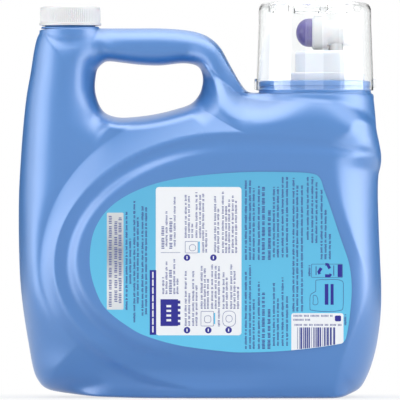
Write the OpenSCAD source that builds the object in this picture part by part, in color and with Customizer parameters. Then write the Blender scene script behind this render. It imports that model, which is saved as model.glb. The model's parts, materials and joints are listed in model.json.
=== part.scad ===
// Fabric softener jug with a vent cap, a press tap and a clear dosing cup.
// +X is right in front view, +Y points away from the viewer, +Z is up.
// The origin lies on the table, at the middle of the base.

/* [Jug] */
// Width of the jug
jug_w = 264.5; // [256:0.5:272]
// Height of the jug from the table to the shoulder that carries the cup
jug_h = 222; // [216:0.5:228]
// Depth of the jug, from label to label
jug_d = 104; // [103:0.5:110]
// Thickness of the blown wall
wall = 1.3; // [1.1:0.1:1.5]
// Depth of the hand grip
grip_d = 34; // [30:1:38]
// Step from the plain side up to the ledge round the label
ledge_rise = 3.8; // [3:0.2:4.2]
// Step from the ledge up to the label panel
panel_rise = 3.4; // [2.6:0.2:3.8]
// Thickness of a label film
label_t = 0.12; // [0.1:0.01:0.2]

/* [Vent cap] */
// Diameter of the cap over its ribs
vent_cap_d = 44; // [42.5:0.5:45]
// Height of the cap
vent_cap_h = 14; // [13:0.5:15.5]
// Number of ribs round the cap
vent_ribs = 90; // [60:10:110]
// Thickness of the cap
vent_cap_t = 1.7; // [1.5:0.1:1.9]
// Height of the vent neck above its shoulder
vent_neck_h = 11.2; // [10.5:0.1:12]

/* [Dosing cup] */
// Diameter of the cup at its rim
cup_d = 85.8; // [85:0.2:87]
// Height of the cup
cup_h = 64.6; // [62:0.2:68]
// Thickness of the cup
cup_t = 1; // [0.9:0.1:1.2]
// Radius of the cup's closed end
cup_corner = 10; // [8:0.5:12]

/* [Tap] */
// Distance of the tap neck from the middle of the cup ring
tap_shift = 9.6; // [9:0.2:10.2]
// Height of the tap axis above the shoulder
tap_axis_h = 43.9; // [43:0.1:45]
// Diameter of the dome button
button_d = 20.8; // [20:0.2:21.4]
// How far the button can be pressed
button_travel = 4.5; // [4:0.1:4.8]
// Diameter of the barrel
barrel_d = 18.6; // [18:0.2:19.2]
// Diameter of the spout
spout_d = 20; // [19.4:0.2:20.6]
// Length of the spout
spout_l = 8.4; // [8:0.2:9]
// Diameter of the valve stem
stem_d = 4; // [3.6:0.1:4.2]
// Diameter of the collar
collar_d = 47.8; // [47:0.2:48.4]

/* [Hidden] */
$fn = 96;

// Gaps between pieces
air = 0.3;
slip = 0.05;
overlap = 0.5;

// The lists below are drawn for this width and height, and then stretched to the size asked for
drawn_w = 264.5;
drawn_h = 222;
kx = jug_w / drawn_w;
kz = jug_h / drawn_h;

// Half depths of the jug's regions
panel_half = jug_d / 2;
ledge_half = panel_half - panel_rise;
body_half = ledge_half - ledge_rise;
grip_half = grip_d / 2;
rim_half = 0.8;

// Cup ring, tap neck and vent neck
cup_x = 83.5 * kx;
tap_x = cup_x + tap_shift;
vent_x = -95 * kx;
shoulder_z = jug_h;
ring_r = cup_d / 2 - 2.1;
ring_h = 8.7;
boss_r = cup_d / 2 + 1;
shoulder_half = boss_r - 1.6;
ring_top = shoulder_z + ring_h;
tap_neck_h = 17;
tap_neck_r = collar_d / 2 - 3.6;
tap_neck_top = ring_top + tap_neck_h;
vent_shoulder_z = 270.3 * kz;
vent_neck_r = vent_cap_d / 2 - vent_cap_t - 2;
vent_r = vent_cap_d / 2 + 0.6;
vent_half = vent_r - 1.8;

// Side view of the jug: x, z, and the place on the handle opening that the point faces,
// counted in points of the opening
OUTLINE = [
    [-115.5, 268, 0.5], [-117.5, 265.5, 0.8], [-119.5, 261, 1.1], [-121.5, 252, 1.5], [-124, 236, 2],
    [-127, 218.5, 3], [-129.5, 195, 4], [-131.5, 167, 4.6], [-132.5, 144, 5], [-132.5, 114.5, 5.3],
    [-131.5, 85.5, 5.6], [-129, 62, 5.85], [-125.5, 40, 6.05], [-122, 21, 6.25], [-118.5, 12.5, 6.45],
    [-113.5, 7, 6.7], [-104, 4, 7], [-80.5, 1.5, 7.4], [-58.5, 0.5, 7.8], [-37, 0, 8.2],
    [-6, 0, 8.7], [25.5, 0, 9.2], [56.5, 0, 9.6], [87.5, 0, 10], [100.5, 0.5, 10.2],
    [109, 3, 10.3], [116, 6.5, 10.4], [120.5, 13, 10.5], [125, 24, 10.6], [129, 40, 10.7],
    [131.5, 60, 10.8], [132, 79.5, 10.9], [131, 103.5, 11], [130, 129, 11.1], [129.5, 149.5, 11.2],
    [130, 162, 11.25], [131.5, 168.5, 11.3], [132, 176, 11.35], [130.5, 185.5, 11.4], [128.5, 195.5, 11.5],
    [127, 206.5, 11.6], [125, 216.5, 11.7], [120.5, 220, 11.8], [105.5, 220.6, 11.9], [83.5, 220.8, 12],
    [62, 221.2, 12.1], [42, 221.8, 12.25], [34.5, 223, 12.5], [29, 229.5, 13], [21.5, 242.5, 14.2],
    [14.5, 255, 15], [7, 262, 15.5], [-2, 266, 16], [-13.5, 268, 16.9], [-29.5, 269, 18],
    [-50, 269, 19.4], [-69, 269, 21.2], [-93.5, 269, 22]
];
// Handle opening: x, z
OPENING = [
    [-70.5, 244], [-75, 239.5], [-76.5, 233.5], [-77, 225.5], [-75.5, 217.5], [-72, 210],
    [-67, 206], [-58.5, 204], [-47, 204.5], [-32.5, 206.5], [-18, 210], [-7, 214],
    [-1, 220.5], [1.5, 228], [1.5, 235], [-1, 240.5], [-6.5, 243], [-15, 243.5],
    [-29.5, 242], [-44, 242.5], [-57, 244], [-66, 245]
];
// Label: x, z
LABEL = [
    [89.5, 151], [93, 141.5], [101, 117.5], [107.5, 98], [109.5, 81], [108.5, 64],
    [106.5, 49], [104, 41.5], [97.5, 39], [66, 35], [33.5, 33.5], [14.5, 34.5],
    [-15, 38.5], [-37, 44.5], [-50.5, 51], [-68, 64.5], [-76, 79], [-80, 96.5],
    [-78.5, 116], [-72.5, 130], [-62.5, 141], [-47.5, 150], [-27.5, 157], [-0.5, 161.5],
    [32.5, 164], [62, 164], [80, 163], [86.5, 159.5]
];

// Points along the outline, and from the outline to the handle opening
around = 62;
across = 9;

function clamp01(t) = min(1, max(0, t));
function ease(t) = let (c = clamp01(t)) c * c * (3 - 2 * c);
function mix(a, b, t) = a + (b - a) * t;
function round_over(t) = let (c = 1 - clamp01(t)) sqrt(1 - c * c);

// Smooth closed curve through a list of points, at place s counted in points
function curve(pts, s) = let (
    n = len(pts), i = floor(s), t = s - i,
    a = pts[(i - 1 + n) % n], b = pts[i % n], c = pts[(i + 1) % n], d = pts[(i + 2) % n]
) b + ((c - a) * t + (2 * a - 5 * b + 4 * c - d) * t * t + (3 * b - a - 3 * c + d) * t * t * t) / 2;

function stretched(p) = [p.x * kx, max(0, p.y) * kz];
function outline_at(s) = stretched(curve([for (p = OUTLINE) [p.x, p.y]], s));
function opening_at(s) = stretched(curve(OPENING, s % len(OPENING)));
function faced(s) = let (
    n = len(OUTLINE), i = floor(s), last = OUTLINE[(i + 1) % n][2]
) mix(OUTLINE[i][2], i + 1 == n ? last + len(OPENING) : last, s - i);

// Distance from a point to a closed line
function piece_gap(p, a, b) = let (ab = b - a, t = clamp01((p - a) * ab / (ab * ab))) norm(p - a - t * ab);
function line_gap(p, line) = min([
    for (i = [0:len(line) - 1]) piece_gap(p, line[i], line[(i + 1) % len(line)])
]);

// How far a point lies inside an oval, measured towards the oval's middle
function inside_oval(p, middle, left, right, up, down) = let (
    v = p - middle, q = norm([v.x / (v.x < 0 ? left : right), v.y / (v.y < 0 ? down : up)])
) norm(v) * (1 / max(q, 0.01) - 1);

// Half depth of the side before its edges are rounded; x and z are in the drawn size
function side_depth(x, z) = let (
    drop = ease((250 - z) / 90),
    right = ease((x - 3) / 47),
    grip = mix(grip_half, vent_half, ease((-x - 60) / 25)),
    plain = mix(mix(grip, body_half, drop), mix(shoulder_half, body_half, drop), right),
    border = inside_oval([x, z], [25.5, 97], 131.5, 209, 92, 92.5),
    ridge = inside_oval([x, z], [25.5, 98.5], 115, 400, 79, 73),
    groove = inside_oval([x, z], [25.5, 103.5], 144, 144, 104, 98),
    low = ease((x + 45) / 45) * ease((45 - z) / 30),
    low_panel = ease((x + 60) / 60) * ease((60 - z) / 30),
    climb = clamp01((border + 13) / 13),
    to_ledge = max(climb * climb, low),
    to_panel = max(ease((ridge + 8) / 9), low_panel),
    dip = 2 * ease(groove / 2) * (1 - ease((groove - 1) / 9)) * ease((-x - 62) / 20),
    crease = 96 + 24.5 * exp(-pow((z - 82) / 46, 2)),
    past = max(0, x - crease) * ease((185 - z) / 20)
) min(plain + ledge_rise * to_ledge + panel_rise * to_panel - dip, panel_half - 0.9 * past);

// Half depth at a point, with rounded edges and the flat foot; skin is how far under the surface,
// and the wall is thicker at the notch between the handle and the shoulder
function half_depth(p, edge, hole, skin) = let (
    x = p.x / kx, z = p.y / kz,
    foot = 0.8 * (1 - ease(z / 12)) * ease((x + 112) / 40) * ease((122 - x) / 20),
    right = ease((x - 3) / 47) * ease((z - 185) / 25),
    edge_r = mix(mix(mix(12.5, 14, ease((250 - z) / 90)), 10, ease((22 - z) / 16)), 9, right),
    hole_r = mix(12.5, 22, ease((232 - z) / 40)),
    share = foot + (1 - foot) * round_over((edge - skin) / edge_r),
    notch = 1 - norm([x, z] - [26, 220]) / 28,
    under = skin * (1 + 3 * ease(2 * notch))
) max(rim_half - skin / 4, (side_depth(x, z) - under) * share * round_over((hole - skin) / hole_r));

function step_in(j) = let (t = j / across) mix(t, (1 - cos(180 * t)) / 2, 0.6);

// Line moved into the jug's wall by a distance
function moved(line, gap) = let (n = len(line)) [
    for (i = [0:n - 1]) let (d = line[(i + 1) % n] - line[(i - 1 + n) % n], u = d / norm(d))
        line[i] + gap * [-u.y, u.x]
];

// Closed skin of the jug, a distance under its surface: each ring of points runs from the outline to
// the opening on the front, and back to the outline on the far side
module jug_skin(skin) {
    n = len(OUTLINE);
    places = [for (i = [0:around - 1]) i * n / around];
    outer = [for (s = places) outline_at(s)];
    hole = [for (s = places) opening_at(faced(s))];
    outer_in = moved(outer, skin);
    hole_in = moved(hole, -skin);
    ring = 2 * (across + 1);
    front = [
        for (i = [0:around - 1]) [
            for (j = [0:across]) let (
                p = mix(outer_in[i], hole_in[i], step_in(j)),
                edge = j == 0 ? skin : line_gap(p, outer),
                gap = j == across ? skin : line_gap(p, hole)
            ) [p.x, -half_depth(p, edge, gap, skin), p.y]
        ]
    ];
    points = [
        for (row = front) each [
            for (q = row) q,
            for (j = [across:-1:0]) [row[j].x, -row[j].y, row[j].z]
        ]
    ];
    faces = [
        for (i = [0:around - 1], j = [0:ring - 1]) let (
            a = i * ring + j, b = i * ring + (j + 1) % ring,
            c = ((i + 1) % around) * ring + (j + 1) % ring, d = ((i + 1) % around) * ring + j
        ) each [[a, b, c], [a, c, d]]
    ];
    polyhedron(points, faces);
}

// Round shoulder and ring under the dosing cup
module cup_seat() {
    translate([cup_x, 0, 0])
        rotate_extrude()
            polygon([
                [0, 190 * kz], [boss_r - 2.6, 190 * kz], [boss_r - 0.6, shoulder_z - 22],
                [boss_r, shoulder_z - 14], [boss_r - 0.8, shoulder_z - 4], [boss_r - 1.6, shoulder_z - 1.4], [boss_r - 3, shoulder_z],
                [ring_r, shoulder_z], [ring_r, ring_top - 1.6], [ring_r - 0.5, ring_top - 0.5],
                [ring_r - 1.6, ring_top], [0, ring_top]
            ]);
}

// Hollow inside the shoulder and the ring
module cup_seat_hollow() {
    translate([cup_x, 0, 0])
        rotate_extrude()
            polygon([
                [0, 200 * kz], [boss_r - 3.4, 200 * kz], [boss_r - 2.4 - wall, shoulder_z - 5],
                [ring_r - wall, shoulder_z - 2], [ring_r - wall, ring_top - 2 - wall],
                [ring_r - 2 - wall, ring_top - wall], [0, ring_top - wall]
            ]);
}

module ring_bead() {
    translate([cup_x, 0, shoulder_z])
        rotate_extrude()
            polygon([
                [ring_r - overlap, 1.2], [ring_r + 0.05, 1.2], [ring_r + 0.4, 1.9],
                [ring_r + 0.4, 2.4], [ring_r + 0.05, 3.2], [ring_r - overlap, 3.2]
            ]);
}

module vent_seat() {
    translate([vent_x, 0, 0])
        rotate_extrude()
            polygon([
                [0, 246 * kz], [vent_r - 4, 246 * kz], [vent_r - 0.8, 257 * kz],
                [vent_r - 0.2, 264 * kz], [vent_r - 0.7, 268 * kz],
                [vent_r - 1.3, vent_shoulder_z - 0.8], [vent_r - 2, vent_shoulder_z],
                [0, vent_shoulder_z]
            ]);
}

module tap_neck_outside() {
    translate([tap_x, 0, ring_top - overlap])
        cylinder(h = tap_neck_h + overlap, r = tap_neck_r);
    translate([tap_x, 0, ring_top + 8.2])
        rotate_extrude()
            polygon([
                [tap_neck_r - overlap, 0], [tap_neck_r + 0.9, 0], [tap_neck_r + 0.9, 0.8],
                [tap_neck_r, 2.4], [tap_neck_r - overlap, 2.4]
            ]);
}

module bottle() {
    // Resizing to zero keeps every size, and makes the blown shell one mesh
    color("#6896D4")
        resize([0, 0, 0]) difference() {
            $fn = 36;
            union() {
                jug_skin(0);
                cup_seat();
                ring_bead();
                tap_neck_outside();
                vent_seat();
                translate([vent_x, 0, vent_shoulder_z - overlap])
                    cylinder(h = vent_neck_h + overlap, r = vent_neck_r);
            }
            jug_skin(wall);
            cup_seat_hollow();
            translate([tap_x, 0, ring_top - 2 * wall])
                cylinder(h = tap_neck_h + 2 * wall + overlap, r = tap_neck_r - 1.6);
            translate([vent_x, 0, 256 * kz])
                cylinder(h = 40, r = vent_neck_r - 1.6);
        }
}

// Vent cap
vent_cap_z = vent_shoulder_z + 0.8;
vent_cap_top = vent_cap_z + vent_cap_h;
liner_t = vent_cap_h - vent_cap_t - (vent_neck_h - 0.8) - air;

module vent_cap() {
    rib = 0.35;
    edge = 3;
    lip_h = 1.8;
    r = vent_cap_d / 2;
    top_r = r - rib - 0.15;
    color("#F0F0F0")
        translate([vent_x, 0, vent_cap_z])
            difference() {
                union() {
                    translate([0, 0, lip_h - overlap])
                        linear_extrude(vent_cap_h - edge - lip_h + overlap)
                            polygon([
                                for (i = [0:2 * vent_ribs - 1])
                                    let (a = 180 * i / vent_ribs, q = r - (i % 2) * rib)
                                        [q * cos(a), q * sin(a)]
                            ]);
                    rotate_extrude()
                        polygon([
                            [0, 0], [r + 0.6, 0], [r + 0.6, lip_h - 0.5], [r + 0.1, lip_h],
                            [r - 1, lip_h], [r - 1, vent_cap_h - edge - overlap],
                            [top_r, vent_cap_h - edge - overlap],
                            for (a = [0:15:90]) [
                                top_r - edge + edge * cos(a),
                                vent_cap_h - edge + edge * sin(a)
                            ],
                            [0, vent_cap_h]
                        ]);
                }
                translate([0, 0, -overlap])
                    cylinder(h = vent_cap_h - vent_cap_t + overlap, r = r - vent_cap_t);
            }
}

module vent_cap_liner() {
    color("#E4E6E8")
        translate([vent_x, 0, vent_cap_top - vent_cap_t - liner_t])
            cylinder(h = liner_t, r = vent_cap_d / 2 - vent_cap_t - air);
}

// Dosing cup, upside down over the tap
cup_z = shoulder_z + 1.7;
cup_top_r = cup_d / 2 - 1.7;

function cup_side(skin) = [
    [cup_d / 2 - skin, 0], [cup_d / 2 - skin - 0.2, 8], [cup_top_r - skin, cup_h - cup_corner],
    for (a = [15:15:90]) [
        cup_top_r - cup_corner + (cup_corner - skin) * cos(a),
        cup_h - cup_corner + (cup_corner - skin) * sin(a)
    ]
];

module dosing_cup() {
    stub_r = cup_top_r - 5.8;
    stub_h = 6.5;
    notches = 9;
    color("#F2F4F5", 0.4)
        translate([cup_x, 0, cup_z]) {
            difference() {
                union() {
                    rotate_extrude() polygon([[0, 0], each cup_side(0), [0, cup_h]]);
                    for (side = [-1, 1])
                        translate([side * (cup_d / 2 + 0.1) - 1, -3, 0.6])
                            cube([2, 6, 8.6]);
                }
                translate([0, 0, -overlap])
                    cylinder(h = 2 * overlap, r = cup_d / 2 - cup_t);
                rotate_extrude() polygon([[0, 0], each cup_side(cup_t), [0, cup_h - cup_t]]);
            }
            difference() {
                translate([0, 0, cup_h - cup_t - stub_h])
                    cylinder(h = stub_h + cup_t / 2, r = stub_r);
                translate([0, 0, cup_h - cup_t - stub_h - overlap])
                    cylinder(h = stub_h + overlap, r = stub_r - cup_t);
                for (i = [0:notches - 1])
                    rotate([0, 0, 360 * (i + 0.25) / notches])
                        translate([stub_r - 2 * cup_t, -4, cup_h - cup_t - stub_h - overlap])
                            cube([3 * cup_t, 8, 3]);
            }
        }
}

// Collar, gasket and tap
collar_z = ring_top + air;
collar_lip = 1.6;
gasket_t = 1.4;
plate_t = 2;
tap_plate_z = tap_neck_top + gasket_t;
collar_top = tap_plate_z + plate_t + collar_lip;
collar_hole_r = collar_d / 2 - 6.9;
tap_axis_z = shoulder_z + tap_axis_h;

module tap_collar() {
    h = collar_top - collar_z;
    r = collar_d / 2;
    flange_h = 5.6;
    bore = tap_neck_r + 1.2;
    color("#EEF1F5")
        translate([tap_x, 0, collar_z])
            rotate_extrude()
                polygon([
                    [bore - 0.3, 0], [r + 3, 0], [r + 3, flange_h - 1], [r + 2.4, flange_h],
                    [r, flange_h], [r, h - 3],
                    for (a = [22.5:22.5:90]) [r - 3 + 3 * cos(a), h - 3 + 3 * sin(a)],
                    [collar_hole_r, h], [collar_hole_r, h - collar_lip],
                    [bore, h - collar_lip], [bore, 7.6], [bore - 0.8, 7.2], [bore - 0.8, 5.6],
                    [bore - 0.3, 4.6]
                ]);
}

module collar_gasket() {
    color("#D8DADC")
        translate([tap_x, 0, tap_neck_top])
            difference() {
                cylinder(h = gasket_t, r = tap_neck_r);
                translate([0, 0, -overlap])
                    cylinder(h = gasket_t + 2 * overlap, r = tap_neck_r - 3.4);
            }
}

// Places along the tap axis, from the button to the mouth of the spout
flange_r = 12.2;
flange_x0 = tap_x - 4.3;
flange_t = 3.6;
barrel_x0 = flange_x0 + flange_t;
barrel_l = 11.8;
spout_x0 = barrel_x0 + barrel_l;
spout_x1 = spout_x0 + spout_l;
seat_t = 1.6;
seat_x1 = spout_x0 + 0.9;
seat_x0 = seat_x1 - seat_t;
orifice_r = 4.6;
chamber_x0 = flange_x0 + 2.2;
inlet_x = tap_x + 5.8;
inlet_r = 5.4;
retainer_l = 7.3;
retainer_x0 = flange_x0 - retainer_l;
button_l = 14.2;
button_x0 = flange_x0 - air - button_travel - button_l;

// Round bar along the tap axis
module tap_bar(x0, x1, r) {
    translate([x0, 0, tap_axis_z])
        rotate([0, 90, 0])
            cylinder(h = x1 - x0, r = r);
}

module tap_body() {
    web_w = 9;
    color("#F4F5F7")
        difference() {
            union() {
                translate([tap_x, 0, tap_plate_z])
                    cylinder(h = plate_t, r = tap_neck_r);
                translate([tap_x, 0, tap_plate_z])
                    cylinder(h = plate_t + collar_lip, r = collar_hole_r - air);
                translate([inlet_x, 0, tap_plate_z + plate_t])
                    cylinder(h = tap_axis_z - tap_plate_z - plate_t, r = inlet_r);
                translate([flange_x0, -web_w / 2, tap_plate_z + plate_t])
                    cube([barrel_x0 - flange_x0 + 1.2, web_w, tap_axis_z - tap_plate_z - plate_t]);
                tap_bar(flange_x0, barrel_x0, flange_r);
                tap_bar(barrel_x0 - overlap, spout_x0 + overlap, barrel_d / 2);
                tap_bar(spout_x0, spout_x1, spout_d / 2);
            }
            tap_bar(chamber_x0, seat_x0, barrel_d / 2 - 2.1);
            tap_bar(seat_x0 - overlap, seat_x1 + overlap, orifice_r);
            tap_bar(seat_x1, spout_x1 + overlap, spout_d / 2 - 1.6);
            tap_bar(flange_x0 - overlap, chamber_x0 + overlap, stem_d / 2 + slip);
            translate([inlet_x - 0.9, 0, tap_plate_z - overlap])
                cylinder(h = tap_axis_z - tap_plate_z, r = 3.6);
        }
}

module button_retainer() {
    r = 12.4;
    color("#F6F7F8")
        translate([retainer_x0, 0, tap_axis_z])
            rotate([0, 90, 0])
                rotate_extrude()
                    polygon([
                        [button_d / 2 + 0.35, 0], [r - 1.2, 0], [r, 1.2], [r, retainer_l],
                        [button_d / 2 + 0.35, retainer_l]
                    ]);
}

module push_button() {
    r = button_d / 2;
    nose = 9.2;
    skin = 1.8;
    color("#4F4790")
        translate([button_x0, 0, tap_axis_z])
            rotate([0, 90, 0])
                difference() {
                    rotate_extrude()
                        polygon([
                            for (a = [0:10:90]) [r * sin(a), nose * (1 - cos(a))],
                            [r, button_l], [r - skin, button_l],
                            for (a = [90:-10:30]) [
                                (r - skin) * sin(a), nose - (nose - skin) * cos(a)
                            ],
                            [stem_d / 2 + 1.8, nose - (nose - skin) * cos(30)],
                            [stem_d / 2 + 1.8, 8.4], [0, 8.4]
                        ]);
                    translate([0, 0, skin])
                        cylinder(h = button_l, r = stem_d / 2);
                }
}

seal_t = 1.6;
seal_x0 = seat_x1 + 0.1;

module valve_stem() {
    color("#E8E9EA") {
        tap_bar(button_x0 + 1.8, seal_x0 + seal_t + overlap, stem_d / 2);
        tap_bar(seal_x0 + seal_t, seal_x0 + seal_t + 1, stem_d / 2 + 1);
    }
}

module valve_seal() {
    color("#3A3D42")
        difference() {
            tap_bar(seal_x0, seal_x0 + seal_t, orifice_r + 1.7);
            tap_bar(seal_x0 - overlap, seal_x0 + seal_t + overlap, stem_d / 2);
        }
}

// Label film on the panel; side is -1 for the side that faces the viewer
module label(side) {
    steps = 3;
    places = [for (i = [0:len(LABEL) * steps - 1]) i / steps];
    color("#6CC5E8")
        translate([0, side * (panel_half + label_t / 2) + label_t / 2, 0])
            rotate([90, 0, 0])
                linear_extrude(label_t)
                    polygon([for (s = places) stretched(curve(LABEL, s))]);
}

module back_label() {
    label(-1);
}

module front_label() {
    label(1);
}

bottle();
vent_cap();
vent_cap_liner();
dosing_cup();
tap_collar();
collar_gasket();
tap_body();
button_retainer();
push_button();
valve_stem();
valve_seal();
back_label();
front_label();
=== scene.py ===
"""Fabric softener jug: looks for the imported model.

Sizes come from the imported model's boxes or from the values below, in millimetres up to piece(), which turns
them into metres. The studio and the settings are in metres. The jug's skin follows the construction's
outline, and its rules for depth are newer than the construction's.
"""

import json
import math

import bmesh
import bpy
import numpy as np
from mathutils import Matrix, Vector

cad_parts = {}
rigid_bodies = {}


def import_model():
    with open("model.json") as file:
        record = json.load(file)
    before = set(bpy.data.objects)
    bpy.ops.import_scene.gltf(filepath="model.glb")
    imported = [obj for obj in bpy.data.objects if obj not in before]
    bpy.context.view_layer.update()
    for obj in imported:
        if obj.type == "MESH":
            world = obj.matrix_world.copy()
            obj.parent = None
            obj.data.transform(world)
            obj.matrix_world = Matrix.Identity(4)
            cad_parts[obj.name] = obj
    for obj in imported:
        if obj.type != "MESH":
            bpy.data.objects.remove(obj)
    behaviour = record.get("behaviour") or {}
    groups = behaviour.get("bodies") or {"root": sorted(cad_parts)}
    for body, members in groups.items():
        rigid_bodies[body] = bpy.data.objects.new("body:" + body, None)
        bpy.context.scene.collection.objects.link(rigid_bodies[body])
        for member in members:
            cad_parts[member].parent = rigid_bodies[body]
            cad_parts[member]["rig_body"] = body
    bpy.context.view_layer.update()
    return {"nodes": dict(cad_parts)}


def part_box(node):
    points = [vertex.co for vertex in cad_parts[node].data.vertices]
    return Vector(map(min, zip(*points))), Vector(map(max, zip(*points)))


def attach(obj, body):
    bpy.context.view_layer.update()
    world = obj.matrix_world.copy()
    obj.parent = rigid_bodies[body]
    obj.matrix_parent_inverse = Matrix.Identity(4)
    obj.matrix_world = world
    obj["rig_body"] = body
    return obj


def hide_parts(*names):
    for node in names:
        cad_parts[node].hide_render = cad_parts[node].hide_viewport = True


bl_info = {
    "name": "Fabric softener jug",
    "version": (1, 0, 0),
    "blender": (4, 5, 0),
    "location": "View3D > Sidebar > Jug",
    "description": "Builds the jug's skin, caps, cup, tap, labels and studio",
    "category": "Add Mesh",
}

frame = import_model()

# Metres in a millimetre
MM = 0.001


def cad_box(node):
    """Corners of a CAD node's box, in millimetres."""
    lo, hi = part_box(node)
    return np.array(lo) / MM, np.array(hi) / MM


JUG_LO, JUG_HI = cad_box("bottle")
CUP_LO, CUP_HI = cad_box("dosing_cup")
CAP_LO, CAP_HI = cad_box("vent_cap")
COLLAR_LO, COLLAR_HI = cad_box("tap_collar")

# Height of the shoulder's top
SHOULDER_Z = 222.0
JUG_D = JUG_HI[1] - JUG_LO[1]
# The skin keeps between these sides
SKIN_LEFT, SKIN_RIGHT = -132.6, 132.0

# Side view of the jug: x, z, and the place in OPENING that the point faces
OUTLINE = np.array([
    (-115.5, 268, 0.5), (-117.5, 265.5, 0.8), (-119.5, 261, 1.1), (-121.5, 252, 1.5), (-124, 236, 2),
    (-127, 218.5, 3), (-129.5, 195, 4), (-131.5, 167, 4.6), (-132.5, 144, 5), (-132.5, 114.5, 5.3),
    (-131.5, 85.5, 5.6), (-129, 62, 5.85), (-125.5, 40, 6.05), (-122, 21, 6.25), (-118.5, 12.5, 6.45),
    (-113.5, 7, 6.7), (-104, 4, 7), (-80.5, 1.5, 7.4), (-58.5, 0.5, 7.8), (-37, 0, 8.2),
    (-6, 0, 8.7), (25.5, 0, 9.2), (56.5, 0, 9.6), (87.5, 0, 10), (100.5, 0.5, 10.2),
    (109, 3, 10.3), (116, 6.5, 10.4), (120.5, 13, 10.5), (125, 24, 10.6), (129, 40, 10.7),
    (131.5, 60, 10.8), (132, 79.5, 10.9), (131, 103.5, 11), (130, 129, 11.1), (129.5, 149.5, 11.2),
    (130, 162, 11.25), (131.5, 168.5, 11.3), (132, 176, 11.35), (130.5, 185.5, 11.4), (128.5, 195.5, 11.5),
    (127.6, 206.5, 11.6), (126.4, 216.5, 11.7), (124.6, 221.6, 11.8), (105.5, 222, 11.9), (83.5, 222, 12),
    (62, 222, 12.1), (42, 222, 12.25), (34.5, 223, 12.5), (29, 229.5, 13), (21.5, 242.5, 14.2),
    (14.5, 255, 15), (7, 262, 15.5), (-2, 266, 16), (-13.5, 268, 16.9), (-29.5, 269, 18),
    (-50, 269, 19.4), (-69, 269, 21.2), (-93.5, 269, 22),
])
# Handle opening: x, z
OPENING = np.array([
    (-70.5, 244), (-75, 239.5), (-76.5, 233.5), (-77, 225.5), (-75.5, 217.5), (-72, 210),
    (-67, 206), (-58.5, 204), (-47, 204.5), (-32.5, 206.5), (-18, 210), (-7, 214),
    (-1, 220.5), (1.5, 228), (1.5, 235), (-1, 240.5), (-6.5, 243), (-15, 243.5),
    (-29.5, 242), (-44, 242.5), (-57, 244), (-66, 245),
])
# Label: x, z
LABEL = np.array([
    (89.5, 151), (93, 141.5), (101, 117.5), (107.5, 98), (109.5, 81), (108.5, 64),
    (106.5, 49), (104, 41.5), (97.5, 39), (66, 35), (33.5, 33.5), (14.5, 34.5),
    (-15, 38.5), (-37, 44.5), (-50.5, 51), (-68, 64.5), (-76, 79), (-80, 96.5),
    (-78.5, 116), (-72.5, 130), (-62.5, 141), (-47.5, 150), (-27.5, 157), (-0.5, 161.5),
    (32.5, 164), (62, 164), (80, 163), (86.5, 159.5),
])

# Middle of the dosing cup, and radii and heights that follow from the boxes
CUP_X = 83.5
CUP_R = (CUP_HI[1] - CUP_LO[1]) / 2
VENT_X = (CAP_LO[0] + CAP_HI[0]) / 2
CAP_R = (CAP_HI[0] - CAP_LO[0]) / 2
RING_R = CUP_R - 2.1
RING_TOP = SHOULDER_Z + 8.7
BOSS_R = CUP_R + 1
TAP_X = (COLLAR_LO[0] + COLLAR_HI[0]) / 2
COLLAR_R = (COLLAR_HI[0] - COLLAR_LO[0]) / 2
# How far the vent cap's foot stands out, its wall, and the height where its neck starts
CAP_RIM = 0.6
CAP_WALL = 1.7
VENT_ROOT = 270.3

# Ovals on the jug's side: middle, and reach to the left, right, up and down
GROOVE_OVAL = ((25.5, 97), 142, 142, 119, 98)
BORDER_OVAL = ((25.5, 97), 131.5, 209, 95, 92.5)
RIDGE_OVAL = ((25.5, 98.5), 115, 400, 79, 73)

# Heights over the panel of print laid on film, on a field, on another mark, and on top
FIELD = (0.02, 0.06)
OVER = (0.05, 0.09)
LINE = (0.06, 0.1)
TOP = (0.07, 0.11)


# Shapes as arrays

def ease(t):
    """Rises from 0 to 1 with flat ends: 3 t squared less 2 t cubed."""
    c = np.clip(t, 0, 1)
    return c * c * (3 - 2 * c)


def mix(a, b, t):
    """Goes from a to b as t goes from 0 to 1: a + (b - a) t."""
    return a + (b - a) * t


def round_over(t, power=2.0):
    """A rounded edge, steep at 0 and flat at 1: a quarter circle at a power of 2, and fuller above it."""
    c = 1 - np.clip(t, 0, 1)
    return (1 - c ** power) ** (1 / power)


def curve(points, s):
    """Catmull-Rom curve through a closed list of points, at places s counted in points."""
    n = len(points)
    i = np.floor(s).astype(int)
    t = (s - i)[:, None]
    a, b, c, d = (points[(i + k) % n] for k in (-1, 0, 1, 2))
    bend = (2 * a - 5 * b + 4 * c - d) * t ** 2 + (3 * b - a - 3 * c + d) * t ** 3
    return b + ((c - a) * t + bend) / 2


def whole(points, count):
    """The whole closed curve, at count even places."""
    return curve(points, np.linspace(0, len(points), count, endpoint=False))


def line_gap(points, line):
    """Distance from each point to a closed line: the least distance to any of its straight pieces."""
    best = np.full(len(points), np.inf)
    ends = np.roll(line, -1, axis=0)
    for chunk in np.array_split(np.arange(len(points)), max(1, len(points) // 4000)):
        p = points[chunk][:, None, :]
        ab = (ends - line)[None]
        t = np.clip(((p - line[None]) * ab).sum(2) / (ab * ab).sum(2), 0, 1)
        best[chunk] = np.linalg.norm(p - line[None] - t[..., None] * ab, axis=2).min(1)
    return best


def inside_oval(x, z, middle, left, right, up, down):
    """How far a point lies inside an oval, measured along the line to the oval's middle."""
    vx, vz = x - middle[0], z - middle[1]
    q = np.hypot(vx / np.where(vx < 0, left, right), vz / np.where(vz < 0, down, up))
    return np.hypot(vx, vz) * (1 / np.maximum(q, 0.01) - 1)


def smooth_max(a, b, width):
    """The larger of two heights, with the crease between them rounded over a width."""
    h = np.maximum(width - np.abs(a - b), 0) / width
    return np.maximum(a, b) + h * h * width / 4


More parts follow.
